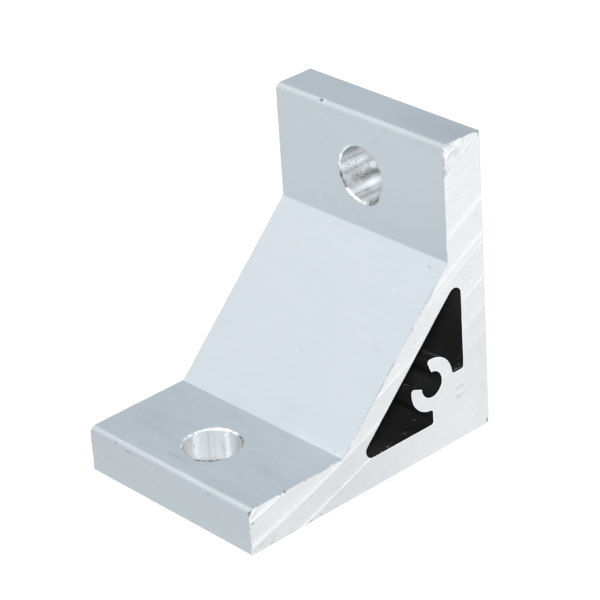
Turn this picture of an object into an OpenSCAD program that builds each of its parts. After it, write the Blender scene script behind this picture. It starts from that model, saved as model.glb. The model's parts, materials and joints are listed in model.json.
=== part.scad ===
// Corner bracket for slotted profile: one length of aluminium extrusion, sawn off and drilled.
// A sloping gusset wall joins the two legs and closes a hollow with an open screw port inside it.
// The foot lies along -Y and the upright stands along +Z, each with its mounting face on the outside.
// The origin is on the heel edge, where the two mounting faces meet, at the middle of the width.

/* [Legs] */
// Width of the bracket, which is the length sawn off the extrusion
bracket_w = 36; // [20:0.5:120]
// Length of the foot, from the heel to its tip
foot_l = 50; // [46:0.5:90]
// Length of the upright, from the heel to its tip
upright_l = 50; // [47:0.5:90]
// Thickness of both legs beyond the gusset
leg_t = 7.6; // [6:0.1:12]
// Round on the front edges of both tips
tip_r = 1.1; // [0.2:0.1:2.5]
// Round on the back edges of both tips and on the heel edge
back_r = 0.2; // [0.05:0.05:2]

/* [Gusset] */
// Distance from the heel at which the gusset meets each leg
gusset_reach = 31; // [30:0.5:36]
// Thickness of the gusset wall
gusset_t = 3.7; // [2:0.1:4.8]
// Fillet where the gusset meets each leg
root_r = 0.5; // [0.1:0.1:3]

/* [Hollow] */
// Thickness of each leg beside the hollow
hollow_wall = 5.1; // [3:0.1:6]
// Round in the two sharp corners of the hollow
hollow_r = 1.4; // [0.4:0.1:2.4]
// Round in the corners of the pockets on both sides of the port
pocket_r = 0.5; // [0.1:0.05:0.9]

/* [Screw port] */
// Distance from both mounting faces to the axis of the port
port_inset = 12; // [11.2:0.1:12.8]
// Bore of the port
port_d = 4.3; // [3.2:0.1:5]
// Wall of the port
port_wall = 2.25; // [1.2:0.05:2.9]
// Width of the port's mouth at the bore
mouth_w = 3; // [1:0.1:3.1]
// Angle of each side of the mouth from its middle line
mouth_flare = 23; // [0:1:35]
// Round on the outer corners of the lips beside the mouth
lip_r = 0.45; // [0.1:0.05:0.8]
// Round on the corners of the lips at the bore
lip_bore_r = 0.2; // [0.05:0.05:0.5]

/* [Bolt holes] */
// Diameter of the hole in each leg
hole_d = 9; // [5:0.1:10]
// Distance from the foot's tip to the middle of its hole
foot_hole_edge = 9; // [7:0.5:13]
// Distance from the upright's tip to the middle of its hole
upright_hole_edge = 10; // [7:0.5:13]
// Chamfer on the rims of the holes
hole_chamfer = 0.25; // [0.05:0.05:1]

/* [Hidden] */
$fn = 96;
// Sum of run and rise on the gusset's outer face, and on its inner face
gusset_out = gusset_reach + leg_t;
gusset_in = gusset_out - gusset_t * sqrt(2);
// Run, or rise, of the hollow's two sharp corners
hollow_far = gusset_in - hollow_wall;
port_r = port_d / 2;
port_out_r = port_r + port_wall;
// Distance from the port's axis at which the mouth leaves the bore
mouth_start = sqrt(port_r ^ 2 - (mouth_w / 2) ^ 2);
foot_hole_run = foot_l - foot_hole_edge;
upright_hole_rise = upright_l - upright_hole_edge;
// How far a cut runs past the face that it opens, and a fillet into the faces that it joins
overcut = 1;
// How far a round's circle crosses its two edges, so that it cuts them at clear points
bite = 0.001;

// The section is drawn with the run along the foot as x and the rise up the upright as y.

// What lies between a corner and the arc that rounds it, with some overlap past the corner's edges.
// The edges leave the corner at angles from and to.
module corner_piece(corner, from, to, r) {
    half = (to - from) / 2;
    inward = [cos(from + half), sin(from + half)] / sin(half);
    reach = r / tan(half);
    middle = corner + (r - bite) * inward;
    difference() {
        polygon([
            corner - overcut * inward,
            corner + reach * [cos(from), sin(from)] + overcut * [sin(from), -cos(from)],
            middle,
            corner + reach * [cos(to), sin(to)] + overcut * [-sin(to), cos(to)]
        ]);
        translate(middle) circle(r);
    }
}

// The same shape on the foot's side and on the upright's side of the section
module both_sides() {
    children();
    mirror([1, -1]) children();
}

// The section's outside: two legs and the gusset, as if they were solid
module outside() {
    difference() {
        union() {
            polygon([
                [0, 0],
                [foot_l, 0],
                [foot_l, leg_t],
                [gusset_reach, leg_t],
                [leg_t, gusset_reach],
                [leg_t, upright_l],
                [0, upright_l]
            ]);
            both_sides() corner_piece([gusset_reach, leg_t], 0, 135, root_r);
        }
        corner_piece([0, 0], 0, 90, back_r);
        corner_piece([foot_l, 0], 90, 180, back_r);
        corner_piece([foot_l, leg_t], 180, 270, tip_r);
        corner_piece([leg_t, upright_l], 180, 270, tip_r);
        corner_piece([0, upright_l], 270, 360, back_r);
    }
}

// The rounds in the corners of one pocket: at the leg's wall, and at the root of the port
module pocket_rounds() {
    corner_piece([hollow_wall, port_inset], 0, 90, pocket_r);
    rise = pocket_r - bite;
    run = sqrt((port_out_r + rise) ^ 2 - rise ^ 2);
    middle = [port_inset - run, port_inset + rise];
    difference() {
        polygon([
            [port_inset, port_inset],
            [port_inset, port_inset - overcut],
            [middle.x, port_inset - overcut],
            middle
        ]);
        translate(middle) circle(pocket_r);
    }
}

// The port's mouth, with the port's axis at 0 and the mouth's middle line along x
module mouth() {
    far = port_out_r + overcut;
    far_half = mouth_w / 2 + (far - mouth_start) * tan(mouth_flare);
    polygon([
        [0, 0],
        [mouth_start, mouth_w / 2],
        [far, far_half],
        [far, -far_half],
        [mouth_start, -mouth_w / 2]
    ]);
}

// What rounds a lip's corner between the mouth's side and a circle of the port, in the mouth's frame.
// Way is 1 at the port's outer circle and -1 at its bore.
module lip_piece(circle_r, r, way) {
    along = [cos(mouth_flare), sin(mouth_flare)];
    across = [-sin(mouth_flare), cos(mouth_flare)];
    inset = r - bite;
    start = [mouth_start, mouth_w / 2] + inset * across;
    travel = sqrt((start * along) ^ 2 - start * start + (circle_r - way * inset) ^ 2) - start * along;
    middle = start + travel * along;
    past_side = middle - 2 * r * across;
    past_corner = past_side + way * 3 * r * along;
    past_circle = middle + way * 3 * r * middle / norm(middle);
    difference() {
        polygon([middle, past_side, past_corner, past_circle]);
        translate(middle) circle(r);
    }
}

// The screw port: a ring that stands out of the solid heel corner, open towards the gusset
module port() {
    difference() {
        union() {
            square(port_inset);
            translate([port_inset, port_inset]) circle(port_out_r);
            both_sides() pocket_rounds();
        }
        translate([port_inset, port_inset]) rotate(45) {
            circle(port_r);
            mouth();
            for (side = [0, 1]) mirror([0, side]) {
                lip_piece(port_out_r, lip_r, 1);
                lip_piece(port_r, lip_bore_r, -1);
            }
        }
    }
}

// The hollow between the legs and the gusset, around the screw port
module hollow() {
    difference() {
        polygon([
            [hollow_wall, hollow_wall],
            [hollow_far, hollow_wall],
            [hollow_wall, hollow_far]
        ]);
        both_sides() corner_piece([hollow_far, hollow_wall], 135, 180, hollow_r);
        port();
    }
}

// A bolt hole through a leg that lies on z = 0, with both rims chamfered
module bolt_hole() {
    translate([0, 0, -overcut]) cylinder(d = hole_d, h = leg_t + 2 * overcut);
    chamfer_h = hole_chamfer + overcut;
    for (rim = [0, 1]) translate([0, 0, rim * leg_t]) mirror([0, 0, rim]) translate([0, 0, -overcut])
        cylinder(r1 = hole_d / 2 + chamfer_h, r2 = hole_d / 2, h = chamfer_h);
}

module bracket() {
    color([0.80, 0.83, 0.85]) difference() {
        rotate([90, 0, -90]) linear_extrude(bracket_w, center = true) difference() {
            outside();
            hollow();
        }
        translate([0, -foot_hole_run, 0]) bolt_hole();
        translate([0, 0, upright_hole_rise]) rotate([90, 0, 0]) bolt_hole();
    }
}

bracket();
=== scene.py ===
"""Finish of a corner bracket for slotted profile, sawn off an extrusion and drilled, on a studio stage."""

import json
import math

import bmesh
import bpy
from bpy.props import FloatProperty, FloatVectorProperty, IntProperty, PointerProperty
from mathutils import Euler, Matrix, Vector, noise


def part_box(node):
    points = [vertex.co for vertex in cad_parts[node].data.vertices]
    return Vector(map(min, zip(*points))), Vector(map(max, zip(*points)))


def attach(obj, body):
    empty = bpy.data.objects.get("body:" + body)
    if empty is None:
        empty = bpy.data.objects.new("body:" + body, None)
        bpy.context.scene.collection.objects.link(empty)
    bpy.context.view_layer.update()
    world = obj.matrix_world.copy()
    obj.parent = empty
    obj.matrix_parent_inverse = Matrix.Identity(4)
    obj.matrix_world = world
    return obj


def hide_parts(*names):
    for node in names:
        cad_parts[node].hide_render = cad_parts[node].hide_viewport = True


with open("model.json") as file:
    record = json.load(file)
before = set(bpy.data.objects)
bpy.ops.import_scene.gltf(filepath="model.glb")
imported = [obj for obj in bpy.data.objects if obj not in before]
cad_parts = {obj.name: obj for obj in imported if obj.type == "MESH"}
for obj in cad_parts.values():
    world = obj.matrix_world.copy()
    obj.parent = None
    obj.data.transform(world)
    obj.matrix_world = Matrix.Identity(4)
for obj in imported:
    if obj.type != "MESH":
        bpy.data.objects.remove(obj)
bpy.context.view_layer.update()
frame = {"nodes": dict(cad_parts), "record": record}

bl_info = {
    "name": "Profile corner bracket",
    "version": (1, 0, 0),
    "blender": (4, 5, 0),
    "location": "3D View > Sidebar > Bracket",
    "description": "Breaks the sawn edges of a corner bracket and gives it its anodised and bare finishes",
    "category": "Object",
}

MM = 0.001

# From the frame: the box of the whole, the bracket's lowest and highest corners, half its width, and its
# bolt holes
LOW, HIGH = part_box("bracket")
HALF_W = HIGH.x
HOLES = [m for m in frame["record"]["mounts"] if m["kind"] == "bore"]

# Two points closer than this are the same point, two faces flatter than this are one face,
# and an edge with more than this between its faces is shaded as a sharp one
SAME = 0.002 * MM
FLAT = math.radians(0.5)
SHARP = math.radians(32)

# How far past its bore the rim of a bolt hole can reach, before and after it is deburred, in mm
RIM_REACH = 0.5
WORN_RIM_REACH = 0.8

# Depth of a worn rim in the bore as a share of its width
RIM_DEPTH = 0.6

# A face in a bolt hole whose points differ by more than this in radius belongs to its rim, in mm
CHAMFER = 0.1

# A point on an edge is beside a mounting face when it is nearer than this, in mm
BACK_REACH = 0.4

# The least width of a broken edge, in mm
LEAST_BREAK = 0.02

# How bright the metal of a rim, a broken edge and the edge around the hollow is where nothing changes it;
# the pale edge around the hollow is a painted highlight
RIM_BRIGHT = 0.75
EDGE_BRIGHT = 0.52
HOLLOW_HIGHLIGHT = 0.85

# Shifts in the noise that keep the two ends, and the shape and the shine of an edge, from being alike, in mm
END_SHIFT = 40.0
SHINE_SHIFT = Vector((9.0, 0.0, 0.0))

# Cuts on each side of the middle of a nick, and how many of its half sizes the faces that it cuts lie within
NICK_CUTS = 4
NICK_REACH = 4

# The mesh attribute that says how bright the broken edges and the rims are: pale fresh metal, painted
# highlights and painted shade
BRIGHT = "bright"

# The finishes, in the order of the body's material slots; the hollow's finish is a painted shade
SKIN, SAWN, EDGE, HOLLOW, FIRST_BORE = range(5)

# Torn places on the edges of the +X end: run along -Y and rise along Z, reach, and depth, in mm,
# and how bright the edge is there, from 0 to 1: pale fresh torn metal where high, and painted shade
# in chips and beside burrs where low
TORN_PLACES = (
    (4.5, 50.0, 4.5, 0.40, 0.66),
    (7.6, 47.0, 3.4, 0.24, 0.30),
    (7.4, 47.8, 0.30, 0.26, 0.22),
    (7.5, 45.9, 0.28, 0.24, 0.22),
    (6.5, 49.7, 1.7, 0.60, 0.62),
    (0.4, 49.9, 0.90, 0.25, 0.05),
    (0.2, 0.4, 0.60, 0.35, 0.05),
    (36.0, 7.6, 4.0, 0.10, 0.35),
    (33.5, 7.6, 0.30, 0.20, 0.20),
    (38.6, 7.6, 0.30, 0.25, 0.20),
    (42.8, 7.6, 0.35, 0.30, 0.10),
    (43.7, 7.6, 0.25, 0.25, 0.15),
    (49.6, 7.0, 0.70, 0.45, 0.06),
    (49.7, 5.5, 0.40, 0.30, 0.10),
    (50.0, 3.0, 3.5, 0.00, 0.30),
    (13.0, 25.6, 6.5, 0.12, 0.42),
    (23.5, 15.1, 8.5, 0.14, 0.42),
    (29.2, 9.4, 2.2, 0.20, 0.44),
    (31.1, 7.6, 0.6, 0.20, 0.50),
    (32.7, 7.6, 1.6, 0.36, 0.60),
)

# Worn places on the rims of the bolt holes: angle from X and reach in degrees, extra width in mm,
# and brightness, which paints highlights on a rim where it is high and shade where it is low
RIM_WEAR_AND_LIGHT = {
    "foot_bolt_hole": (
        (150, 65, -0.02, 1.00),
        (124, 26, 0.10, 1.00),
        (58, 28, 0.10, 0.15),
        (312, 30, -0.14, 0.30),
    ),
    "upright_bolt_hole": (
        (135, 34, 0.00, 1.25),
        (204, 26, 0.06, 0.22),
        (241, 19, 0.08, 1.10),
        (280, 14, 0.08, 0.55),
        (303, 22, 0.30, 0.05),
        (45, 9, 0.12, 0.90),
    ),
}

# Painted reflections and painted shade in streaks along the wall of each bolt hole: angle from X in degrees,
# half width in mm, how much lighter or darker the streak is, and how speckled
BORE_REFLECTION_STREAKS = {
    "foot_bolt_hole": (
        (173, 0.9, 0.34, 0.7),
        (147, 0.5, -0.18, 0.1),
        (136, 0.9, -0.08, 0.3),
        (109, 0.7, 0.42, 0.7),
        (81, 0.9, -0.06, 0.2),
        (208, 1.2, 0.14, 0.1),
    ),
    "upright_bolt_hole": (
        (150, 1.6, -0.28, 0.3),
        (172, 0.5, -0.32, 0.8),
        (184, 0.6, 0.12, 1.0),
        (196, 0.6, -0.40, 0.4),
        (207, 1.2, -0.14, 0.2),
        (218, 1.6, -0.56, 0.3),
        (235, 0.9, 0.22, 0.2),
        (247, 0.5, -0.38, 0.5),
        (256, 0.50, -0.42, 0.4),
        (262, 0.35, -0.40, 0.3),
        (277, 0.60, -0.04, 0.6),
        (287, 0.45, -0.28, 0.3),
    ),
}

# Half length of a streak, which is longer than any hole, in mm
HALF_STREAK = 20.0

# Painted light and painted shade in each bore, paler deeper in, with lighter and darker patches, in the form
# of the skin's marks
BORE_PAINTED_LIGHT = {
    "foot_bolt_hole": (
        ((0.0, -41.0, 1.0), (9.0, 9.0, 5.0), (0, 0, 0), 0.25),
        ((-4.45, -41.7, 4.2), (1.0, 1.3, 2.4), (0, 0, 0), 0.16),
        ((-2.0, -37.0, 4.2), (0.9, 0.9, 2.0), (0, 0, 0), -0.18),
    ),
    "upright_bolt_hole": (
        ((0.0, 0.0, 40.0), (9.0, 5.0, 9.0), (0, 0, 0), 0.90),
        ((-3.4, -1.2, 37.1), (1.3, 3.0, 1.3), (0, 0, 0), -0.55),
        ((-2.3, -2.2, 36.2), (1.3, 2.6, 1.3), (0, 0, 0), 0.15),
        ((-4.0, -0.7, 38.0), (1.0, 1.2, 1.0), (0, 0, 0), 1.20),
        ((-2.7, -6.6, 36.4), (1.2, 1.8, 1.0), (0, 0, 0), -0.18),
        ((-3.7, -6.6, 42.5), (1.6, 1.6, 1.6), (0, 0, 0), -0.22),
        ((-4.35, -2.8, 41.2), (1.5, 2.2, 1.5), (0, 0, 0), 0.38),
        ((-3.7, -6.5, 37.5), (1.1, 1.6, 1.2), (0, 0, 0), 0.30),
        ((-4.5, -1.6, 40.0), (1.2, 1.5, 1.2), (0, 0, 0), 0.20),
        ((-3.2, -3.4, 36.8), (0.9, 1.5, 0.9), (0, 0, 0), -0.24),
    ),
}

# Nicks pressed into the rounded front edges of the tips: middle, half sizes and depth in mm
NICKS = (
    ((-8.3, -7.0, 49.8), (0.45, 0.4, 0.3), 0.16),
    ((-12.0, -49.7, 7.3), (0.50, 0.4, 0.4), 0.07),
    ((-9.4, -49.6, 7.4), (0.40, 0.4, 0.4), 0.07),
)

# Half size of a mark that runs right across the bracket, in mm
ACROSS = 300.0

# Marks on the anodised skin: middle and half sizes in mm, turn in degrees, and how much lighter or darker
SKIN_MARKS = (
    # The nick in the upright's tip: painted shade in it and painted glints beside it
    ((-8.3, -7.0, 49.8), (0.45, 0.40, 0.30), (0, 0, 0), -1.0),
    ((-7.7, -6.8, 49.9), (0.30, 0.30, 0.25), (0, 0, 0), 0.55),
    ((-7.5, -7.5, 49.6), (0.45, 0.30, 0.25), (0, 0, 0), 0.22),
    ((16.0, -3.0, 50.0), (14.0, 6.0, 3.0), (0, 0, 0), -0.14),
    # Painted shade: the whole front face of the foot, and the two rounded tips all along, made darker
    ((0.0, -50.0, 2.0), (ACROSS, 0.5, ACROSS), (0, 0, 0), -0.08),
    ((0.0, -7.3, 49.7), (ACROSS, 0.9, 0.9), (0, 0, 0), -0.05),
    ((0.0, -49.7, 7.3), (ACROSS, 0.9, 0.9), (0, 0, 0), -0.05),
    ((-9.0, -50.0, 6.75), (1.4, 0.4, 0.18), (0, 0, 0), -0.34),
    # Painted shade in the nick in the foot's tip
    ((-12.1, -49.9, 7.1), (0.35, 0.35, 0.25), (0, 0, 0), -0.60),
    ((9.1, -50.0, 6.8), (0.9, 0.4, 0.25), (0, 0, 0), -0.20),
    ((3.6, -7.6, 46.7), (1.9, 0.3, 0.18), (0, -41, 0), -0.16),
    ((5.7, -7.6, 48.7), (1.4, 0.3, 0.16), (0, -54, 0), -0.14),
    ((-8.0, -7.6, 47.5), (0.45, 0.3, 0.35), (0, 0, 0), 0.08),
    ((-13.4, -7.6, 44.5), (0.35, 0.3, 0.5), (0, 0, 0), 0.10),
    ((-13.1, -7.6, 44.9), (0.35, 0.3, 0.3), (0, 0, 0), -0.10),
    ((-8.2, -7.6, 33.8), (0.25, 0.3, 0.50), (0, 0, 0), -0.18),
    ((-7.0, -7.6, 33.5), (0.25, 0.3, 0.50), (0, 0, 0), -0.22),
    ((-5.9, -7.6, 33.8), (0.30, 0.3, 0.35), (0, 0, 0), -0.16),
    ((0.0, -22.8, 15.8), (0.45, 0.35, 0.35), (0, 0, 0), 0.16),
    ((0.45, -22.9, 15.7), (0.35, 0.30, 0.30), (0, 0, 0), -0.16),
    ((14.0, -17.1, 21.5), (0.40, 0.30, 0.30), (0, 0, 0), 0.14),
    ((11.2, -12.4, 26.2), (0.80, 0.30, 0.30), (0, 0, 0), 0.10),
    ((15.3, -8.8, 29.8), (0.60, 0.40, 0.40), (0, 0, 0), -0.25),
    ((13.7, -18.9, 19.7), (1.2, 0.9, 0.9), (0, 0, 0), -0.06),
    ((16.6, -30.7, 7.7), (0.35, 0.35, 0.35), (0, 0, 0), 0.45),
    ((16.1, -30.5, 7.8), (0.35, 0.35, 0.35), (0, 0, 0), -0.35),
    ((-1.6, -46.9, 7.6), (3.4, 0.18, 0.4), (0, 0, 0), -0.28),
    ((4.0, -47.3, 7.6), (1.8, 0.14, 0.4), (0, 0, 0), -0.08),
    ((-10.1, -45.8, 7.6), (0.35, 0.25, 0.4), (0, 0, 0), 0.12),
    ((9.4, -43.7, 7.6), (0.6, 0.25, 0.4), (0, 0, 10), -0.16),
    ((15.3, -43.9, 7.6), (0.5, 0.30, 0.4), (0, 0, 20), -0.22),
    ((16.0, -33.0, 7.6), (16.0, 8.0, 1.5), (0, 0, 0), 0.08),
    ((-14.0, -46.0, 7.6), (18.0, 12.0, 1.5), (0, 0, 0), -0.03),
    ((-11.5, -42.0, 7.6), (7.0, 4.0, 1.5), (0, 0, 0), -0.05),
    ((13.0, -40.8, 7.6), (8.0, 2.5, 1.5), (0, 0, 0), -0.04),
    ((14.5, -47.5, 7.6), (6.0, 2.2, 1.5), (0, 0, 0), -0.05),
    ((-9.7, -48.6, 7.6), (1.6, 0.7, 0.6), (0, 0, 0), 0.08),
    ((1.8, -45.4, 7.6), (0.7, 0.40, 0.4), (0, 0, 23), -1.00),
    ((2.7, -44.95, 7.6), (0.5, 0.35, 0.4), (0, 0, 34), -0.70),
    ((3.4, -44.3, 7.6), (0.7, 0.40, 0.4), (0, 0, 44), -1.10),
    ((4.0, -43.5, 7.6), (0.6, 0.35, 0.4), (0, 0, 58), -0.80),
    ((4.5, -42.5, 7.6), (0.5, 0.30, 0.4), (0, 0, 70), -0.40),
)

# The foot's top, where the streaks of the skin show most, in the form of the skin's marks
FOOT_TOP = (((0.0, -40.0, 7.6), (ACROSS, ACROSS, 0.9), (0, 0, 0), 1.0),)

# Marks on the sawn +X end, in the form of the skin's marks: pits, dark corners that are painted shade in
# chips, strokes and broad shades
SAWN_MARKS = (
    ((18.0, -5.5, 9.2), (0.5, 0.40, 0.35), (0, 0, 0), -0.22),
    ((18.0, -6.7, 9.1), (0.5, 0.35, 0.30), (0, 0, 0), -0.18),
    ((18.0, -6.0, 9.0), (0.5, 1.20, 0.50), (0, 0, 0), -0.07),
    ((18.0, -6.4, 7.5), (0.5, 0.70, 0.40), (0, 0, 0), -0.24),
    ((18.0, -5.6, 7.6), (0.5, 0.50, 0.40), (0, 0, 0), -0.12),
    ((18.0, -6.2, 8.2), (0.5, 0.90, 0.40), (0, 0, 0), 0.08),
    # Painted shade in the chips at the heel's two corners
    ((18.0, -0.3, 0.6), (0.5, 0.40, 0.50), (0, 0, 0), -0.70),
    ((18.0, -0.3, 49.6), (0.5, 0.40, 0.60), (0, 0, 0), -0.45),
    ((18.0, -0.1, 45.2), (0.5, 0.25, 0.80), (0, 0, 0), -0.25),
    # Painted shade in a chip at the foot's tip
    ((18.0, -49.4, 5.3), (0.5, 0.45, 0.30), (0, 0, 0), -0.45),
    ((18.0, -45.5, 1.0), (0.5, 0.9, 0.25), (30, 0, 0), -0.16),
    ((18.0, -45.9, 0.3), (0.5, 0.6, 0.30), (0, 0, 0), -0.20),
    ((18.0, -48.1, 0.9), (0.5, 0.9, 0.30), (30, 0, 0), -0.16),
    ((18.0, -42.1, 0.2), (0.5, 0.8, 0.30), (0, 0, 0), -0.16),
    ((18.0, -38.2, 0.3), (0.5, 0.6, 0.25), (0, 0, 0), -0.20),
    ((18.0, -36.0, 0.4), (0.5, 0.5, 0.25), (0, 0, 0), -0.22),
    ((18.0, -6.7, 49.0), (0.5, 0.9, 0.14), (50, 0, 0), -0.30),
    ((18.0, -6.6, 47.8), (0.5, 1.0, 0.14), (50, 0, 0), -0.35),
    ((18.0, -7.1, 46.8), (0.5, 0.9, 0.16), (50, 0, 0), -0.45),
    ((18.0, -6.5, 46.1), (0.5, 0.8, 0.14), (50, 0, 0), -0.30),
    ((18.0, -3.8, 49.5), (0.5, 0.9, 0.14), (50, 0, 0), -0.25),
    ((18.0, -3.1, 48.4), (0.5, 0.8, 0.14), (50, 0, 0), -0.20),
    ((18.0, -1.4, 36.5), (0.5, 0.70, 0.35), (40, 0, 0), -0.18),
    ((18.0, -1.3, 45.4), (0.5, 0.22, 0.22), (0, 0, 0), -0.35),
    ((18.0, -6.9, 34.1), (0.5, 0.45, 0.30), (0, 0, 0), -0.12),
    ((18.0, -36.0, 6.0), (6.0, 26.0, 16.0), (0, 0, 0), -0.045),
    ((18.0, -50.0, 3.0), (4.0, 5.0, 7.0), (0, 0, 0), -0.06),
    ((18.0, -20.0, 20.0), (6.0, 14.0, 14.0), (0, 0, 0), -0.035),
    ((18.0, -5.0, 5.0), (6.0, 14.0, 14.0), (0, 0, 0), 0.035),
)

# Places on that end which the saw left scraped, in the same form
SCRAPED_PLACES = (
    ((18.0, -5.0, 49.2), (1.0, 4.0, 2.6), (0, 0, 0), 1.6),
    ((18.0, -7.4, 45.6), (1.0, 1.1, 4.5), (0, 0, 0), 1.3),
    ((18.0, -48.6, 6.6), (1.0, 1.8, 1.2), (0, 0, 0), 0.7),
    ((18.0, -43.0, 7.2), (1.0, 2.5, 0.9), (0, 0, 0), 0.5),
)

# Ridges that the saw's teeth left, lighter partly in their own tone and partly as a painted highlight:
# distance from the hub and width of the slope before it, in mm, how much lighter the ridge is, and how much
# the metal beyond it differs
TOOTH_MARKS = (
    (240.0, 0.5, 0.03, -0.01),
    (246.0, 1.3, 0.09, -0.01),
    (251.1, 0.9, 0.10, 0.00),
    (252.2, 0.3, 0.10, -0.03),
    (256.0, 0.3, 0.12, 0.00),
    (256.9, 0.3, 0.08, 0.00),
    (257.5, 0.4, 0.20, -0.03),
    (260.6, 0.3, 0.07, 0.00),
    (261.3, 0.5, 0.09, 0.00),
    (261.7, 0.3, 0.20, -0.05),
    (265.6, 0.4, 0.22, -0.04),
    (269.4, 0.4, 0.05, -0.02),
)

# Width of the drop behind a ridge, in mm
TOOTH_DROP = 0.14

# Where the ridges start to come out, and where they are out in full: along Y on the foot, and along Z on the
# upright, in mm
FOOT_RIDGES = (-15, -30)
UPRIGHT_RIDGES = (14, 30)

# The hollow's walls get paler, as painted light, up to this distance from the middle of the width, in mm
PALE_MIDDLE = 2.0

# Specks of saw dust in the hollow, and paler places on its walls that are painted light, in the form of the
# skin's marks
DUST_AND_PAINTED_LIGHT = (
    ((15.0, -13.2, 5.1), (0.22, 0.22, 0.20), (0, 0, 0), 20.0),
    ((16.6, -17.0, 5.1), (0.30, 0.18, 0.20), (0, 0, 0), 12.0),
    ((17.4, -21.3, 5.1), (0.20, 0.35, 0.20), (0, 0, 0), 18.0),
    ((17.6, -23.0, 5.1), (0.18, 0.30, 0.20), (0, 0, 0), 14.0),
    ((15.0, -10.1, 15.9), (0.30, 0.70, 0.50), (0, 0, 0), 7.0),
    ((16.5, -10.2, 16.0), (0.50, 0.90, 0.50), (0, 0, 0), 10.0),
    ((17.3, -10.2, 16.0), (0.40, 0.90, 0.50), (0, 0, 0), 14.0),
    ((17.7, -9.9, 15.9), (0.25, 0.50, 0.40), (0, 0, 0), 16.0),
    ((17.4, -6.1, 12.0), (0.25, 0.30, 0.20), (0, 0, 0), 14.0),
    ((17.6, -5.5, 12.0), (0.20, 0.20, 0.20), (0, 0, 0), 12.0),
    ((17.5, -6.7, 12.0), (0.20, 0.25, 0.20), (0, 0, 0), 12.0),
    ((15.4, -15.2, 12.45), (0.35, 0.90, 0.50), (0, 0, 0), 14.0),
    ((15.9, -15.0, 12.4), (0.20, 0.70, 0.40), (0, 0, 0), 10.0),
    ((16.9, -14.5, 12.2), (0.30, 0.70, 0.40), (0, 0, 0), 8.0),
    # Painted light: paler places on the walls of the hollow
    ((15.5, -10.4, 16.1), (3.0, 1.2, 0.8), (0, 0, 0), 3.0),
    ((16.2, -15.0, 12.4), (2.0, 1.5, 0.6), (0, 0, 0), 1.0),
    ((18.0, -24.5, 5.1), (6.0, 5.0, 3.0), (0, 0, 0), 1.2),
    ((18.0, -5.1, 24.5), (6.0, 3.0, 5.0), (0, 0, 0), 0.9),
)

# Places where saw dust lies in the hollow in patches, in the same form
DUSTY_PLACES = (
    ((17.3, -6.0, 12.0), (1.2, 1.3, 0.5), (0, 0, 0), 45.0),
    ((17.1, -5.1, 13.0), (0.9, 0.5, 1.2), (0, 0, 0), 25.0),
    ((17.4, -20.9, 5.1), (0.8, 1.5, 0.5), (0, 0, 0), 45.0),
    ((16.8, -17.0, 5.1), (0.8, 1.0, 0.5), (0, 0, 0), 40.0),
)

# What shiny metal reflects besides the pale studio: direction, angles in degrees at which it is full and at
# which it ends, and the light that it adds or takes away
STUDIO_PANELS = (
    ((-0.66, -0.20, 0.72), 24, 38, (0.85, 0.75, 0.68)),
    ((0.66, -0.59, 0.47), 6, 30, (-0.45, -0.45, -0.45)),
    ((-0.66, 0.59, 0.47), 8, 34, (-0.16, -0.16, -0.12)),
)

# From the middle of the bracket to the lamp beside the camera, in metres
FRONT_LAMP = Vector((0.60, -0.56, 0.57))

# Width of the camera's sensor, and the gap between the bracket and the floor, in mm
SENSOR_WIDTH = 36.0
FLOOR_GAP = 0.05


class BracketEdges(bpy.types.PropertyGroup):
    """Sizes of the broken edges and the rims of the bolt holes"""

    step: FloatProperty(
        name="Step", description="Distance between points along the sawn edges",
        default=0.22 * MM, unit="LENGTH", precision=5)
    edge_break: FloatProperty(
        name="Edge break", description="Width of the broken edge around a sawn end",
        default=0.09 * MM, unit="LENGTH", precision=5)
    wander: FloatProperty(
        name="Wander", description="How far the broken edge wanders into the faces beside it",
        default=0.20 * MM, unit="LENGTH", precision=5)
    hollow_share: FloatProperty(
        name="Hollow share", description="Break and wander around the hollow as a share of those outside",
        default=0.2, subtype="FACTOR", min=0, max=1)
    back_share: FloatProperty(
        name="Back share", description="Break and wander along the mounting faces as a share of the rest",
        default=0.4, subtype="FACTOR", min=0, max=1)
    far_share: FloatProperty(
        name="Far share", description="Break and wander on the -X end as a share of those on the +X end",
        default=0.45, subtype="FACTOR", min=0, max=1)
    rim_wander: FloatProperty(
        name="Rim wander", description="How unevenly the rims of the bolt holes are deburred",
        default=0.12 * MM, unit="LENGTH", precision=5)
    rim_parts: IntProperty(
        name="Rim parts", description="Parts that each edge of a rim is divided into", default=4, min=1)


class BracketFinish(bpy.types.PropertyGroup):
    """Colours and textures of the finishes"""

    skin_colour: FloatVectorProperty(
        name="Anodised skin", description="Colour of the matte anodised skin",
        default=(0.546, 0.603, 0.638), subtype="COLOR", min=0, max=1)
    skin_roughness: FloatProperty(
        name="Skin roughness", description="Middle roughness of the anodised skin",
        default=0.42, subtype="FACTOR", min=0, max=1)
    sawn_colour: FloatVectorProperty(
        name="Sawn metal", description="Colour of the bare sawn ends",
        default=(0.85, 0.873, 0.883), subtype="COLOR", min=0, max=1)
    edge_colour: FloatVectorProperty(
        name="Broken edge", description="Colour of the fresh metal on the broken edges and the rims",
        default=(0.90, 0.95, 1.00), subtype="COLOR", min=0, max=1)
    bore_colour: FloatVectorProperty(
        name="Drilled metal", description="Colour of the bare metal in the bolt holes",
        default=(0.670, 0.699, 0.716), subtype="COLOR", min=0, max=1)
    # A near-black painted shade over the hollow's walls
    hollow_colour: FloatVectorProperty(
        name="Hollow", description="Colour of the dark walls of the hollow",
        default=(0.0124, 0.0124, 0.0122), subtype="COLOR", min=0, max=1)
    saw_hub: FloatVectorProperty(
        name="Saw hub", description="Middle of the arcs that the saw left on the ends",
        default=(0, -121 * MM, 253 * MM), subtype="TRANSLATION", unit="LENGTH")


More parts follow.
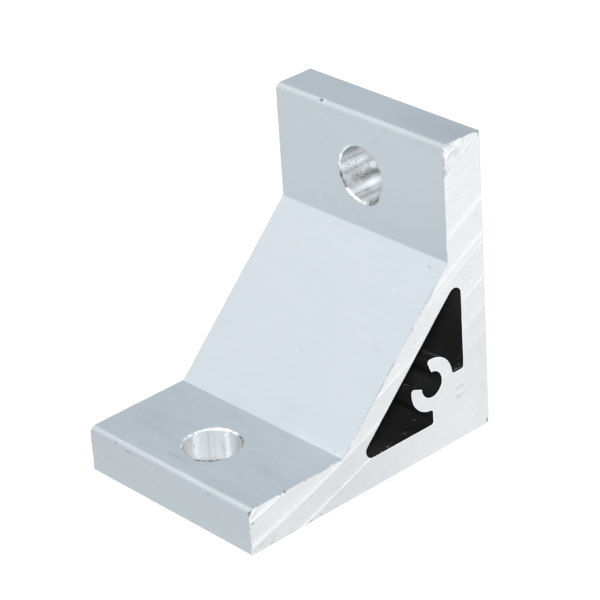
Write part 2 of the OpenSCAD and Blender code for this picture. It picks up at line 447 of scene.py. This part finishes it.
class BracketStage(bpy.types.PropertyGroup):
    """Camera, light and floor"""

    camera_place: FloatVectorProperty(
        name="Camera place", description="Where the camera stands",
        default=(276.585 * MM, -265.765 * MM, 221.719 * MM), subtype="TRANSLATION", unit="LENGTH")
    camera_turn: FloatVectorProperty(
        name="Camera turn", description="How the camera is turned",
        default=[math.radians(a) for a in (61.7779, 3.4508, 46.6977)], subtype="EULER", unit="ROTATION")
    lens: FloatProperty(
        name="Lens", description="Focal length in millimetres", default=166.106, unit="CAMERA")
    floor_size: FloatProperty(
        name="Floor size", description="Side of the floor", default=6.0, unit="LENGTH")
    floor_grey: FloatProperty(
        name="Floor grey", description="How pale the floor is to the light that it throws back",
        default=0.55, subtype="FACTOR", min=0, max=1)
    floor_glow: FloatProperty(
        name="Floor glow", description="White that the floor shows to the camera and to shiny metal",
        default=0.87, min=0)
    floor_shade: FloatProperty(
        name="Floor shade", description="How strongly the floor shows light and shadow",
        default=0.25, subtype="FACTOR", min=0, max=1)
    sky_colour: FloatVectorProperty(
        name="Sky", description="Colour of the studio that shiny metal reflects",
        default=(0.86, 0.90, 0.955), subtype="COLOR", min=0, max=1)
    ambient: FloatProperty(
        name="Ambient", description="Strength of the light from all round", default=0.30, min=0)
    front_power: FloatProperty(
        name="Front power", description="Power of the soft lamp beside the camera",
        default=10.0, unit="POWER")
    front_size: FloatProperty(
        name="Front size", description="Side of the soft lamp beside the camera",
        default=0.30, unit="LENGTH")


def add(tree, kind, values=None, **settings):
    """Adds a shader node, sets its options, and fills its inputs with numbers or other nodes' outputs."""
    made = tree.nodes.new("ShaderNode" + kind)
    for name, value in settings.items():
        setattr(made, name, value)
    for key, value in (values or {}).items():
        socket = made.inputs[key]
        if isinstance(value, bpy.types.NodeSocket):
            tree.links.new(value, socket)
        else:
            socket.default_value = value
    return made


def number(tree, operation, *terms):
    """The output of a Math node on the given terms."""
    return add(tree, "Math", dict(enumerate(terms)), operation=operation).outputs[0]


def vector(tree, operation, *terms):
    """The output of a Vector Math node on the given terms."""
    made = add(tree, "VectorMath", dict(enumerate(terms)), operation=operation)
    return made.outputs["Value" if operation in ("LENGTH", "DISTANCE", "DOT_PRODUCT") else "Vector"]


def grain(tree, place, scale, detail=3.0, rough=0.5):
    """Noise around 0, from about -0.5 to 0.5, with scale in bumps for each mm."""
    made = add(tree, "TexNoise", {"Vector": place, "Scale": scale, "Detail": detail, "Roughness": rough})
    return number(tree, "SUBTRACT", made.outputs["Fac"], 0.5)


def scaled(tree, value, factor):
    """A value times a number."""
    return number(tree, "MULTIPLY", value, factor)


def total(tree, *terms):
    """The sum of the terms."""
    result = terms[0]
    for term in terms[1:]:
        result = number(tree, "ADD", result, term)
    return result


def ramp(tree, value, start, end):
    """Zero before a value's start, one after its end, and a straight slope between."""
    return add(tree, "MapRange", {"Value": value, "From Min": start, "From Max": end}).outputs["Result"]


def marks(tree, place, rows):
    """The sum of soft spots, each with its middle, half sizes, turn and tone."""
    parts = []
    for middle, half, turn, tone in rows:
        spot = add(tree, "Mapping", {
            "Vector": place,
            "Location": middle,
            "Rotation": [math.radians(a) for a in turn],
            "Scale": half,
        }, vector_type="TEXTURE")
        shape = add(tree, "TexGradient", {"Vector": spot.outputs[0]}, gradient_type="SPHERICAL")
        parts.append(scaled(tree, shape.outputs["Fac"], tone))
    return total(tree, *parts)


def new_material(name):
    """A material with one shader, its tree, and the place on the object in mm."""
    material = bpy.data.materials.new(name)
    material.use_nodes = True
    tree = material.node_tree
    shader = tree.nodes["Principled BSDF"]
    coordinates = add(tree, "TexCoord").outputs["Object"]
    place = vector(tree, "MULTIPLY", coordinates, (1 / MM,) * 3)
    return material, tree, shader, place


def tint(tree, shader, colour, tone):
    """Sets the shader's colour to a colour times one plus a tone."""
    level = number(tree, "ADD", tone, 1.0)
    shaded = add(tree, "VectorMath", {0: colour, "Scale": level}, operation="SCALE")
    tree.links.new(shaded.outputs["Vector"], shader.inputs["Base Color"])


def relief(tree, shader, height, depth):
    """Gives the shader a bump of a height from about -0.5 to 0.5 and a depth in metres."""
    bump = add(tree, "Bump", {"Height": height, "Distance": depth, "Strength": 1.0})
    tree.links.new(bump.outputs["Normal"], shader.inputs["Normal"])


def surface(tree, shader, metallic, specular, rough):
    """Sets how metallic the shader is, how strongly the rest of it mirrors, and how rough it is."""
    shader.inputs["Metallic"].default_value = metallic
    shader.inputs["Specular IOR Level"].default_value = specular
    tree.links.new(rough, shader.inputs["Roughness"])


def skin_material(finish):
    """Matte anodised skin, with faint die lines along the extrusion, a fine etched grain and a few marks."""
    material, tree, shader, place = new_material("anodised_skin")
    along = vector(tree, "MULTIPLY", place, (0.02, 1, 1))
    die_lines = grain(tree, along, 2.5, 4, 0.6)
    wide_lines = grain(tree, along, 0.35, 2)
    streaks = grain(tree, vector(tree, "MULTIPLY", place, (0.30, 1, 1)), 0.55, 4, 0.6)
    on_foot = number(tree, "MULTIPLY", streaks, marks(tree, place, FOOT_TOP))
    cloud = grain(tree, place, 0.09, 2)
    etched = grain(tree, place, 7.0, 2)
    spots = marks(tree, place, SKIN_MARKS)
    tone = total(
        tree, scaled(tree, die_lines, 0.035), scaled(tree, wide_lines, 0.03), scaled(tree, streaks, 0.03),
        scaled(tree, on_foot, 0.20), scaled(tree, cloud, 0.05), scaled(tree, etched, 0.03), spots)
    tint(tree, shader, finish.skin_colour, tone)
    rough = total(tree, scaled(tree, wide_lines, 0.10), scaled(tree, cloud, 0.12), finish.skin_roughness)
    surface(tree, shader, metallic=0.5, specular=0.2, rough=rough)
    height = total(tree, scaled(tree, etched, 0.6), scaled(tree, die_lines, 0.5), spots)
    relief(tree, shader, height, 0.012 * MM)
    return material


def tooth_ridges(tree, radius):
    """The ridges that the saw's teeth left around the hub, lighter partly as a painted highlight, and the
    steps in tone behind them.
    """
    ridges, steps = [], []
    for distance, slope, tone, step in TOOTH_MARKS:
        away = number(tree, "SUBTRACT", radius, distance)
        up = number(tree, "MULTIPLY_ADD", away, 1 / slope, 1.0)
        down = number(tree, "MULTIPLY_ADD", away, -1 / TOOTH_DROP, 1.0)
        ridge = number(tree, "MAXIMUM", number(tree, "MINIMUM", up, down), 0.0)
        ridges.append(scaled(tree, ridge, tone))
        steps.append(scaled(tree, number(tree, "GREATER_THAN", away, 0.0), step))
    return total(tree, *ridges), total(tree, *steps)


def sawn_material(finish):
    """Bare sawn metal, with the arcs that the saw's teeth left."""
    material, tree, shader, place = new_material("sawn_metal")
    hub = [c / MM for c in finish.saw_hub]
    flat = vector(tree, "MULTIPLY", place, (0, 1, 1))
    radius = vector(tree, "LENGTH", vector(tree, "SUBTRACT", flat, hub))
    split = add(tree, "SeparateXYZ", {0: place})
    arc = add(tree, "CombineXYZ", {
        "X": radius,
        "Y": scaled(tree, split.outputs["Y"], 0.06),
        "Z": scaled(tree, split.outputs["X"], 0.5),
    }).outputs[0]
    fine = grain(tree, arc, 2.2, 5, 0.65)
    strokes = grain(tree, vector(tree, "MULTIPLY", arc, (1, 4, 1)), 2.0, 2)
    bands = grain(tree, arc, 0.28, 3, 0.6)
    cloud = grain(tree, place, 0.35, 4, 0.6)
    torn = grain(tree, place, 3.0, 2)
    scrape = total(tree, scaled(tree, strokes, 1.4), scaled(tree, torn, 0.3))
    scraped = number(tree, "MULTIPLY", scrape, marks(tree, place, SCRAPED_PLACES))
    wobbly = total(tree, radius, scaled(tree, grain(tree, place, 0.3, 3), 0.45))
    ridges, steps = tooth_ridges(tree, wobbly)
    # The ridges fade towards the heel, and torn metal breaks them up
    foot = ramp(tree, split.outputs["Y"], *FOOT_RIDGES)
    upright = ramp(tree, split.outputs["Z"], *UPRIGHT_RIDGES)
    clear = total(tree, scaled(tree, foot, 0.95), scaled(tree, upright, 0.80), 0.20)
    broken = scaled(tree, total(tree, scaled(tree, cloud, 1.6), scaled(tree, torn, 2.0), clear), 1.3)
    teeth = number(tree, "MULTIPLY", ridges, broken)
    levels = number(tree, "MULTIPLY", steps, number(tree, "MULTIPLY_ADD", foot, 0.4, 0.6))
    tone = total(
        tree, scaled(tree, fine, 0.10), scaled(tree, bands, 0.05), scaled(tree, cloud, 0.07),
        scaled(tree, torn, 0.12), scaled(tree, scraped, 0.9), teeth, levels, marks(tree, place, SAWN_MARKS))
    tint(tree, shader, finish.sawn_colour, tone)
    rough = total(tree, scaled(tree, bands, 0.3), 0.45)
    surface(tree, shader, metallic=0.6, specular=0.2, rough=rough)
    height = total(tree, scaled(tree, fine, 0.5), scaled(tree, torn, 0.4), scaled(tree, scraped, 1.5))
    relief(tree, shader, total(tree, height, scaled(tree, teeth, 5.0)), 0.02 * MM)
    return material


def edge_material(finish):
    """Fresh torn metal on the broken edges and on the rims of the bolt holes, with painted highlights and
    painted shade in its brightness.
    """
    material, tree, shader, place = new_material("broken_edge")
    torn = grain(tree, place, 2.4, 3, 0.6)
    bright = add(tree, "Attribute", attribute_name=BRIGHT).outputs["Fac"]
    tone = number(tree, "MULTIPLY_ADD", bright, 0.9, -0.85)
    tint(tree, shader, finish.edge_colour, total(tree, tone, scaled(tree, torn, 0.35)))
    rough = total(tree, scaled(tree, torn, 0.3), 0.38)
    surface(tree, shader, metallic=0.4, specular=0.3, rough=rough)
    relief(tree, shader, torn, 0.02 * MM)
    return material


def hollow_material(finish):
    """Dull walls of the hollow, painted dark as shade and paler deep inside as painted light, with pale
    specks of saw dust and paler places of painted light.
    """
    material, tree, shader, place = new_material("hollow_wall")
    along = vector(tree, "MULTIPLY", place, (0.05, 1, 1))
    lines = grain(tree, along, 1.5, 3)
    grit = number(tree, "MAXIMUM", grain(tree, place, 2.4, 2), 0.0)
    dust = number(tree, "MULTIPLY", grit, marks(tree, place, DUSTY_PLACES))
    from_middle = number(tree, "ABSOLUTE", add(tree, "SeparateXYZ", {0: place}).outputs["X"])
    # Painted light, paler deeper in
    deep = ramp(tree, from_middle, HALF_W / MM, PALE_MIDDLE)
    # Specks of dust, and paler places of painted light
    specks = marks(tree, place, DUST_AND_PAINTED_LIGHT)
    tone = total(tree, scaled(tree, lines, 0.8), scaled(tree, deep, 2.2), specks, dust)
    tint(tree, shader, finish.hollow_colour, tone)
    rough = total(tree, scaled(tree, lines, 0.2), 0.72)
    surface(tree, shader, metallic=0.0, specular=0.12, rough=rough)
    relief(tree, shader, lines, 0.02 * MM)
    return material


def at_angle(hole, angle):
    """The direction from a hole's axis at an angle in degrees from X."""
    turned = math.radians(angle)
    upwards = Vector((0, 0, 1)) if abs(hole["axis"][1]) > 0.5 else Vector((0, 1, 0))
    return Vector((1, 0, 0)) * math.cos(turned) + upwards * math.sin(turned)


def angle_of(hole, arm):
    """The angle in degrees from X of an arm across a hole's axis."""
    return math.degrees(math.atan2(arm.z if abs(hole["axis"][1]) > 0.5 else arm.y, arm.x))


def bore_material(finish, hole):
    """Bare drilled metal with streaks along the hole, and painted reflections, painted light and painted
    shade in bands and patches.
    """
    material, tree, shader, place = new_material("drilled_" + hole["name"])
    across = [0.03 if axis else 1.0 for axis in hole["axis"]]
    around = vector(tree, "MULTIPLY", place, across)
    streaks = grain(tree, around, 2.6, 3, 0.6)
    tears = grain(tree, place, 3.2, 2)
    long_bands, speckled = [], []
    # Painted reflections and painted shade in long bands along the bore
    for angle, half, tone, speckle in BORE_REFLECTION_STREAKS[hole["name"]]:
        middle = [c / MM for c in Vector(hole["pos_m"]) + at_angle(hole, angle) * hole["dims"]["r_mm"] * MM]
        size = [HALF_STREAK if axis else half for axis in hole["axis"]]
        long_bands.append((middle, size, (0, 0, 0), tone))
        speckled.append((middle, size, (0, 0, 0), speckle))
    specks = number(tree, "MULTIPLY", tears, marks(tree, place, speckled))
    # With the painted bands, and painted light and painted shade deeper in and in patches
    tone = total(
        tree, scaled(tree, streaks, 0.20), scaled(tree, tears, 0.16), scaled(tree, specks, 2.4),
        marks(tree, place, long_bands), marks(tree, place, BORE_PAINTED_LIGHT[hole["name"]]))
    tint(tree, shader, finish.bore_colour, tone)
    rough = total(tree, scaled(tree, tears, 0.2), 0.50)
    surface(tree, shader, metallic=0.1, specular=0.2, rough=rough)
    relief(tree, shader, total(tree, scaled(tree, streaks, 0.6), specks), 0.02 * MM)
    return material


def off_axis(hole, point):
    """The part of a point's place that lies across a hole's axis, and its place along the axis."""
    axis = Vector(hole["axis"])
    arm = point - Vector(hole["pos_m"])
    along = arm.dot(axis)
    return arm - along * axis, along


def merged_copy():
    """The CAD bracket's mesh with its points merged and its flat faces joined."""
    bm = bmesh.new()
    bm.from_mesh(frame["nodes"]["bracket"].data)
    bmesh.ops.remove_doubles(bm, verts=bm.verts, dist=SAME)
    bmesh.ops.dissolve_limit(bm, angle_limit=FLAT, verts=bm.verts, edges=bm.edges)
    return bm


def rim_wear_and_light(hole, arm):
    """The extra width of a hole's rim in the direction of an arm, and its brightness, which is painted
    highlight and shade.
    """
    width, bright = 0.0, RIM_BRIGHT
    for angle, reach, extra, shine in RIM_WEAR_AND_LIGHT[hole["name"]]:
        apart = (angle_of(hole, arm) - angle + 180) % 360 - 180
        share = max(0.0, 1 - (apart / reach) ** 4)
        width += extra * MM * share
        bright += (shine - bright) * share
    return width, bright


def finish_rims(bm, hole, edges):
    """Divides the rings of a bolt hole, makes them round, and leaves its rims unevenly deburred."""
    bore_r = hole["dims"]["r_mm"] * MM
    reach = bore_r + RIM_REACH * MM
    wall = [v for v in bm.verts if off_axis(hole, v.co)[0].length < reach]
    inside = set(wall)
    rings = [
        e for e in bm.edges
        if inside.issuperset(e.verts)
        and abs(off_axis(hole, e.verts[0].co)[1] - off_axis(hole, e.verts[1].co)[1]) < SAME
    ]
    rim_r = max(off_axis(hole, v.co)[0].length for v in wall)
    levels = [off_axis(hole, v.co)[1] for v in wall]
    halfway = (min(levels) + max(levels)) / 2
    layer = bm.verts.layers.float[BRIGHT]
    bmesh.ops.subdivide_edges(bm, edges=rings, cuts=edges.rim_parts - 1)
    for v in bm.verts:
        arm, along = off_axis(hole, v.co)
        if arm.length > reach:
            continue
        # The rim's brightness paints highlights and shade on it
        width, bright = rim_wear_and_light(hole, arm)
        rough = noise.noise(v.co / (1.1 * MM)) + 0.7 * noise.noise(v.co / (0.45 * MM))
        v[layer] = bright + 0.20 * rough + 0.60 * noise.noise(v.co / (0.30 * MM))
        if arm.length > (bore_r + rim_r) / 2:
            v.co += arm.normalized() * (rim_r + width + rough * edges.rim_wander - arm.length)
        else:
            v.co += arm.normalized() * (bore_r - arm.length)
            deeper = math.copysign(1.0, halfway - along)
            v.co += Vector(hole["axis"]) * deeper * (width + rough * edges.rim_wander) * RIM_DEPTH


def sawn_faces(bm, end):
    """The flat faces of one sawn end."""
    return [
        f for f in bm.faces
        if f.normal.x * end > 0.99 and abs(f.calc_center_median().x - end * HALF_W) < SAME
    ]


def give_finishes(bm):
    """Gives each face its finish: sawn ends, bores, the hollow's walls and the skin around the outside."""
    for face in bm.faces:
        face.material_index = HOLLOW
        for index, hole in enumerate(HOLES):
            arms = [off_axis(hole, v.co)[0].length for v in face.verts]
            if max(arms) < (hole["dims"]["r_mm"] + WORN_RIM_REACH) * MM:
                on_rim = max(arms) - min(arms) > CHAMFER * MM
                face.material_index = EDGE if on_rim else FIRST_BORE + index
    for end in (-1, 1):
        for face in sawn_faces(bm, end):
            face.material_index = SAWN
    highest = max(bm.faces, key=lambda f: f.calc_center_median().z)
    highest.material_index = SKIN
    waiting = [highest]
    while waiting:
        for edge in waiting.pop().edges:
            for face in edge.link_faces:
                if face.material_index == HOLLOW:
                    face.material_index = SKIN
                    waiting.append(face)


def divide_sawn_edges(bm, step):
    """Puts points at about equal steps along the edges around both sawn ends."""
    by_cuts = {}
    for edge in bm.edges:
        sawn = [f.material_index == SAWN for f in edge.link_faces]
        cuts = int(edge.calc_length() / step)
        if sum(sawn) == 1 and cuts:
            by_cuts.setdefault(cuts, []).append(edge)
    for cuts, edges in by_cuts.items():
        bmesh.ops.bisect_edges(bm, edges=edges, cuts=cuts)


def wear_at(point, end, in_hollow, edges):
    """How far the broken edge reaches into the side and into the sawn end, and how bright it is there."""
    run, rise = -point.y / MM, point.z / MM
    place = Vector((run, rise, END_SHIFT * end))
    slow = noise.noise(place / 2.7) + 0.5 * noise.noise(place / 1.1)
    quick = noise.noise(place / 0.45)
    share = edges.back_share if min(run, rise) < BACK_REACH else 1.0
    shimmer = noise.noise((place + SHINE_SHIFT) / 0.6)
    bright = EDGE_BRIGHT + 0.10 * noise.noise(place / 1.3) + 0.12 * shimmer
    # The edge around the hollow gets a painted highlight
    if in_hollow:
        share, bright = edges.hollow_share, HOLLOW_HIGHLIGHT
    if end < 0:
        share *= edges.far_share
    wander = max(0.0, slow + 0.35 * quick) * edges.wander * share
    torn = 0.0
    if end > 0 and not in_hollow:
        # Where low, the brightness is painted shade in chips and beside burrs
        for torn_run, torn_rise, reach, depth, shine in TORN_PLACES:
            away = math.hypot(run - torn_run, rise - torn_rise) / reach
            nearness = max(0.0, 1.0 - away * away)
            torn = max(torn, depth * MM * nearness)
            bright += (shine + 0.3 * shimmer - bright) * nearness
    into_side = edges.edge_break * share + wander + torn * max(0.0, 0.55 + 0.9 * quick)
    into_end = wander * 0.8 + torn * max(0.0, 0.6 + 0.7 * slow)
    return max(into_side, LEAST_BREAK * MM), max(into_end, 0.0), bright


def press_nick(bm, middle, half, depth):
    """Presses a nick into the round of a tip, whose faces run along X."""
    middle, half = Vector(middle) * MM, Vector(half) * MM
    faces = [
        f for f in bm.faces
        if f.material_index == SKIN
        and all(abs(v.co.y - middle.y) < NICK_REACH * half.y for v in f.verts)
        and all(abs(v.co.z - middle.z) < NICK_REACH * half.z for v in f.verts)
        and min(v.co.x for v in f.verts) < middle.x < max(v.co.x for v in f.verts)
    ]
    if not faces:
        raise RuntimeError("There is no round to press a nick into")
    for step in range(-NICK_CUTS, NICK_CUTS + 1):
        parts = {*faces, *(e for f in faces for e in f.edges), *(v for f in faces for v in f.verts)}
        across = middle + Vector((half.x * step / NICK_CUTS, 0, 0))
        cut = bmesh.ops.bisect_plane(bm, geom=list(parts), dist=SAME, plane_co=across, plane_no=(1, 0, 0))
        faces = [g for g in cut["geom"] if isinstance(g, bmesh.types.BMFace)]
    bm.normal_update()
    pressed = set(faces)
    for v in {v for f in faces for v in f.verts}:
        away = Vector([(a - b) / c for a, b, c in zip(v.co, middle, half)]).length
        if away < 1 and pressed.issuperset(v.link_faces):
            v.co -= v.normal * depth * MM * (1 - away * away)


def break_sawn_edges(bm, end, edges):
    """Breaks the edges around one sawn end into a narrow, ragged, rounded band."""
    layer = bm.verts.layers.float[BRIGHT]
    faces = sawn_faces(bm, end)
    if not faces:
        raise RuntimeError("A sawn end is missing")
    band = bmesh.ops.inset_region(
        bm, faces=faces, thickness=edges.edge_break, use_boundary=True, use_even_offset=True)["faces"]
    inner = {v for f in faces for v in f.verts}
    across = {e for f in band for e in f.edges if len(inner.intersection(e.verts)) == 1}
    corners = {}
    for edge in across:
        at_end, at_side = sorted(edge.verts, key=lambda v: v not in inner)
        in_hollow = any(f.material_index == HOLLOW for f in at_side.link_faces)
        corners[at_side] = at_side.co.copy()
        into_side, into_end, at_side[layer] = wear_at(at_side.co, end, in_hollow, edges)
        at_end[layer] = at_side[layer] + 0.3
        inward = (at_end.co - at_side.co).normalized()
        at_end.co += inward * into_end
        at_side.co.x -= end * into_side
    for face in band:
        face.material_index = EDGE
    # The middle line of the band goes part of the way back to the old corner, which rounds it
    cut = bmesh.ops.subdivide_edges(bm, edges=list(across), cuts=1, use_grid_fill=True)
    for v in cut["geom_inner"]:
        if not isinstance(v, bmesh.types.BMVert):
            continue
        corner = next((corners[o] for e in v.link_edges for o in e.verts if o in corners), None)
        if corner is not None:
            rough = noise.noise(v.co / (0.5 * MM))
            v.co += (corner - v.co) * (0.28 + 0.18 * rough)


def set_shading(bm):
    """Shades the faces smoothly, apart from sharp edges and edges between two finishes."""
    for face in bm.faces:
        face.smooth = True
    for edge in bm.edges:
        finishes = {f.material_index for f in edge.link_faces}
        edge.smooth = len(finishes) == 1 and edge.calc_face_angle(0.0) < SHARP


class BRACKET_OT_body(bpy.types.Operator):
    """Make the bracket with broken sawn edges, deburred bolt holes and its finishes"""

    bl_idname = "bracket.body"
    bl_label = "Make the bracket"
    bl_options = {"REGISTER", "UNDO"}

    def execute(self, context):
        edges, finish = context.scene.bracket_edges, context.scene.bracket_finish
        if {hole["name"] for hole in HOLES} != set(RIM_WEAR_AND_LIGHT):
            raise RuntimeError("The frame doesn't hold the two bolt holes")
        bm = merged_copy()
        bm.verts.layers.float.new(BRIGHT)
        for hole in HOLES:
            finish_rims(bm, hole, edges)
        bm.normal_update()
        give_finishes(bm)
        for nick in NICKS:
            press_nick(bm, *nick)
        divide_sawn_edges(bm, edges.step)
        for end in (-1, 1):
            break_sawn_edges(bm, end, edges)
        set_shading(bm)
        mesh = bpy.data.meshes.new("bracket_body")
        bm.to_mesh(mesh)
        bm.free()
        for make in (skin_material, sawn_material, edge_material, hollow_material):
            mesh.materials.append(make(finish))
        for hole in HOLES:
            mesh.materials.append(bore_material(finish, hole))
        body = bpy.data.objects.new("bracket_body", mesh)
        context.scene.collection.objects.link(body)
        shading = body.modifiers.new("even_shading", "WEIGHTED_NORMAL")
        shading.keep_sharp = True
        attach(body, "root")
        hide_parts("bracket")
        return {"FINISHED"}


def make_lamp(scene, stage):
    """A soft square lamp beside the camera, which shiny metal doesn't mirror."""
    data = bpy.data.lights.new("front_lamp", "AREA")
    data.shape = "SQUARE"
    data.size = stage.front_size
    data.energy = stage.front_power
    lamp = bpy.data.objects.new("front_lamp", data)
    lamp.location = (LOW + HIGH) / 2 + FRONT_LAMP
    lamp.rotation_euler = (-FRONT_LAMP).to_track_quat("-Z", "Y").to_euler()
    lamp.visible_glossy = False
    scene.collection.objects.link(lamp)


def make_camera(scene, stage):
    """The camera, at the place and with the lens of the photograph."""
    data = bpy.data.cameras.new("camera")
    data.lens = stage.lens
    data.sensor_width = SENSOR_WIDTH
    data.clip_start = 10 * MM
    camera = bpy.data.objects.new("camera", data)
    camera.location = stage.camera_place
    camera.rotation_euler = Euler(stage.camera_turn)
    scene.collection.objects.link(camera)
    scene.camera = camera


def seen_directly(tree):
    """Two switches: one for rays from the camera, shiny metal or glass, and one for the camera alone."""
    path = add(tree, "LightPath")
    shiny = number(tree, "MAXIMUM", path.outputs["Is Glossy Ray"], path.outputs["Is Transmission Ray"])
    from_camera = path.outputs["Is Camera Ray"]
    return number(tree, "MAXIMUM", from_camera, shiny), from_camera


def make_floor(scene, stage):
    """A pale floor that shows white to the camera and keeps a soft shadow."""
    bm = bmesh.new()
    bmesh.ops.create_grid(bm, x_segments=1, y_segments=1, size=stage.floor_size / 2)
    bmesh.ops.translate(bm, verts=bm.verts, vec=(0, 0, LOW.z - FLOOR_GAP * MM))
    mesh = bpy.data.meshes.new("floor")
    bm.to_mesh(mesh)
    bm.free()
    material = bpy.data.materials.new("floor_paper")
    material.use_nodes = True
    tree = material.node_tree
    tree.nodes.remove(tree.nodes["Principled BSDF"])
    plain = add(tree, "BsdfDiffuse", {"Color": (stage.floor_grey,) * 3 + (1,)})
    shaded = add(tree, "BsdfDiffuse", {"Color": (stage.floor_shade,) * 3 + (1,)})
    glow = add(tree, "Emission", {"Color": (1, 1, 1, 1), "Strength": stage.floor_glow})
    white = add(tree, "AddShader", {0: shaded.outputs[0], 1: glow.outputs[0]})
    seen = seen_directly(tree)[0]
    mix = add(tree, "MixShader", {0: seen, 1: plain.outputs[0], 2: white.outputs[0]})
    tree.links.new(mix.outputs[0], tree.nodes["Material Output"].inputs["Surface"])
    mesh.materials.append(material)
    floor = bpy.data.objects.new("floor", mesh)
    scene.collection.objects.link(floor)


def make_world(scene, stage):
    """A pale studio: white to the camera, pale blue to shiny metal, and a soft light for the rest."""
    world = bpy.data.worlds.new("studio")
    world.use_nodes = True
    tree = world.node_tree
    tree.nodes.remove(tree.nodes["Background"])
    ambient = add(tree, "Background", {"Color": (1, 1, 1, 1), "Strength": stage.ambient})
    towards = add(tree, "TexCoord").outputs["Generated"]
    colour = stage.sky_colour
    for direction, full, end, change in STUDIO_PANELS:
        across = vector(tree, "DOT_PRODUCT", towards, Vector(direction).normalized())
        panel = add(tree, "MapRange", {
            "Value": across,
            "From Min": math.cos(math.radians(end)),
            "From Max": math.cos(math.radians(full)),
        }, interpolation_type="SMOOTHSTEP").outputs["Result"]
        part = add(tree, "VectorMath", {0: change, "Scale": panel}, operation="SCALE").outputs["Vector"]
        colour = vector(tree, "ADD", part, colour)
    sky = add(tree, "Background", {"Color": colour, "Strength": 1.0})
    white = add(tree, "Background", {"Color": (1, 1, 1, 1), "Strength": 1.0})
    seen, from_camera = seen_directly(tree)
    reflected = add(tree, "MixShader", {0: seen, 1: ambient.outputs[0], 2: sky.outputs[0]})
    shown = add(tree, "MixShader", {0: from_camera, 1: reflected.outputs[0], 2: white.outputs[0]})
    tree.links.new(shown.outputs[0], tree.nodes["World Output"].inputs["Surface"])
    scene.world = world


class BRACKET_OT_stage(bpy.types.Operator):
    """Make the floor, the studio light and the camera"""

    bl_idname = "bracket.stage"
    bl_label = "Make the stage"
    bl_options = {"REGISTER", "UNDO"}

    def execute(self, context):
        scene = context.scene
        stage = scene.bracket_stage
        make_floor(scene, stage)
        make_world(scene, stage)
        make_lamp(scene, stage)
        make_camera(scene, stage)
        scene.view_settings.view_transform = "Standard"
        return {"FINISHED"}


class BRACKET_PT_panel(bpy.types.Panel):
    """Lists the bracket's sizes, finishes and stage"""

    bl_idname = "BRACKET_PT_panel"
    bl_label = "Corner bracket"
    bl_space_type = "VIEW_3D"
    bl_region_type = "UI"
    bl_category = "Bracket"

    def draw(self, context):
        for label, group, maker in (
            ("Edges", context.scene.bracket_edges, None),
            ("Finish", context.scene.bracket_finish, BRACKET_OT_body.bl_idname),
            ("Stage", context.scene.bracket_stage, BRACKET_OT_stage.bl_idname),
        ):
            box = self.layout.box()
            box.label(text=label)
            for name in group.__annotations__:
                box.prop(group, name)
            if maker:
                box.operator(maker)


CLASSES = (BracketEdges, BracketFinish, BracketStage, BRACKET_OT_body, BRACKET_OT_stage, BRACKET_PT_panel)


def register():
    """Registers the classes and gives every scene the settings."""
    for made in CLASSES:
        bpy.utils.register_class(made)
    bpy.types.Scene.bracket_edges = PointerProperty(type=BracketEdges)
    bpy.types.Scene.bracket_finish = PointerProperty(type=BracketFinish)
    bpy.types.Scene.bracket_stage = PointerProperty(type=BracketStage)


def unregister():
    """Takes the settings and the classes away again."""
    del bpy.types.Scene.bracket_stage
    del bpy.types.Scene.bracket_finish
    del bpy.types.Scene.bracket_edges
    for made in reversed(CLASSES):
        bpy.utils.unregister_class(made)


def main():
    """Makes the bracket and its stage."""
    register()
    bpy.ops.bracket.body()
    bpy.ops.bracket.stage()


if __name__ == "__main__":
    main()
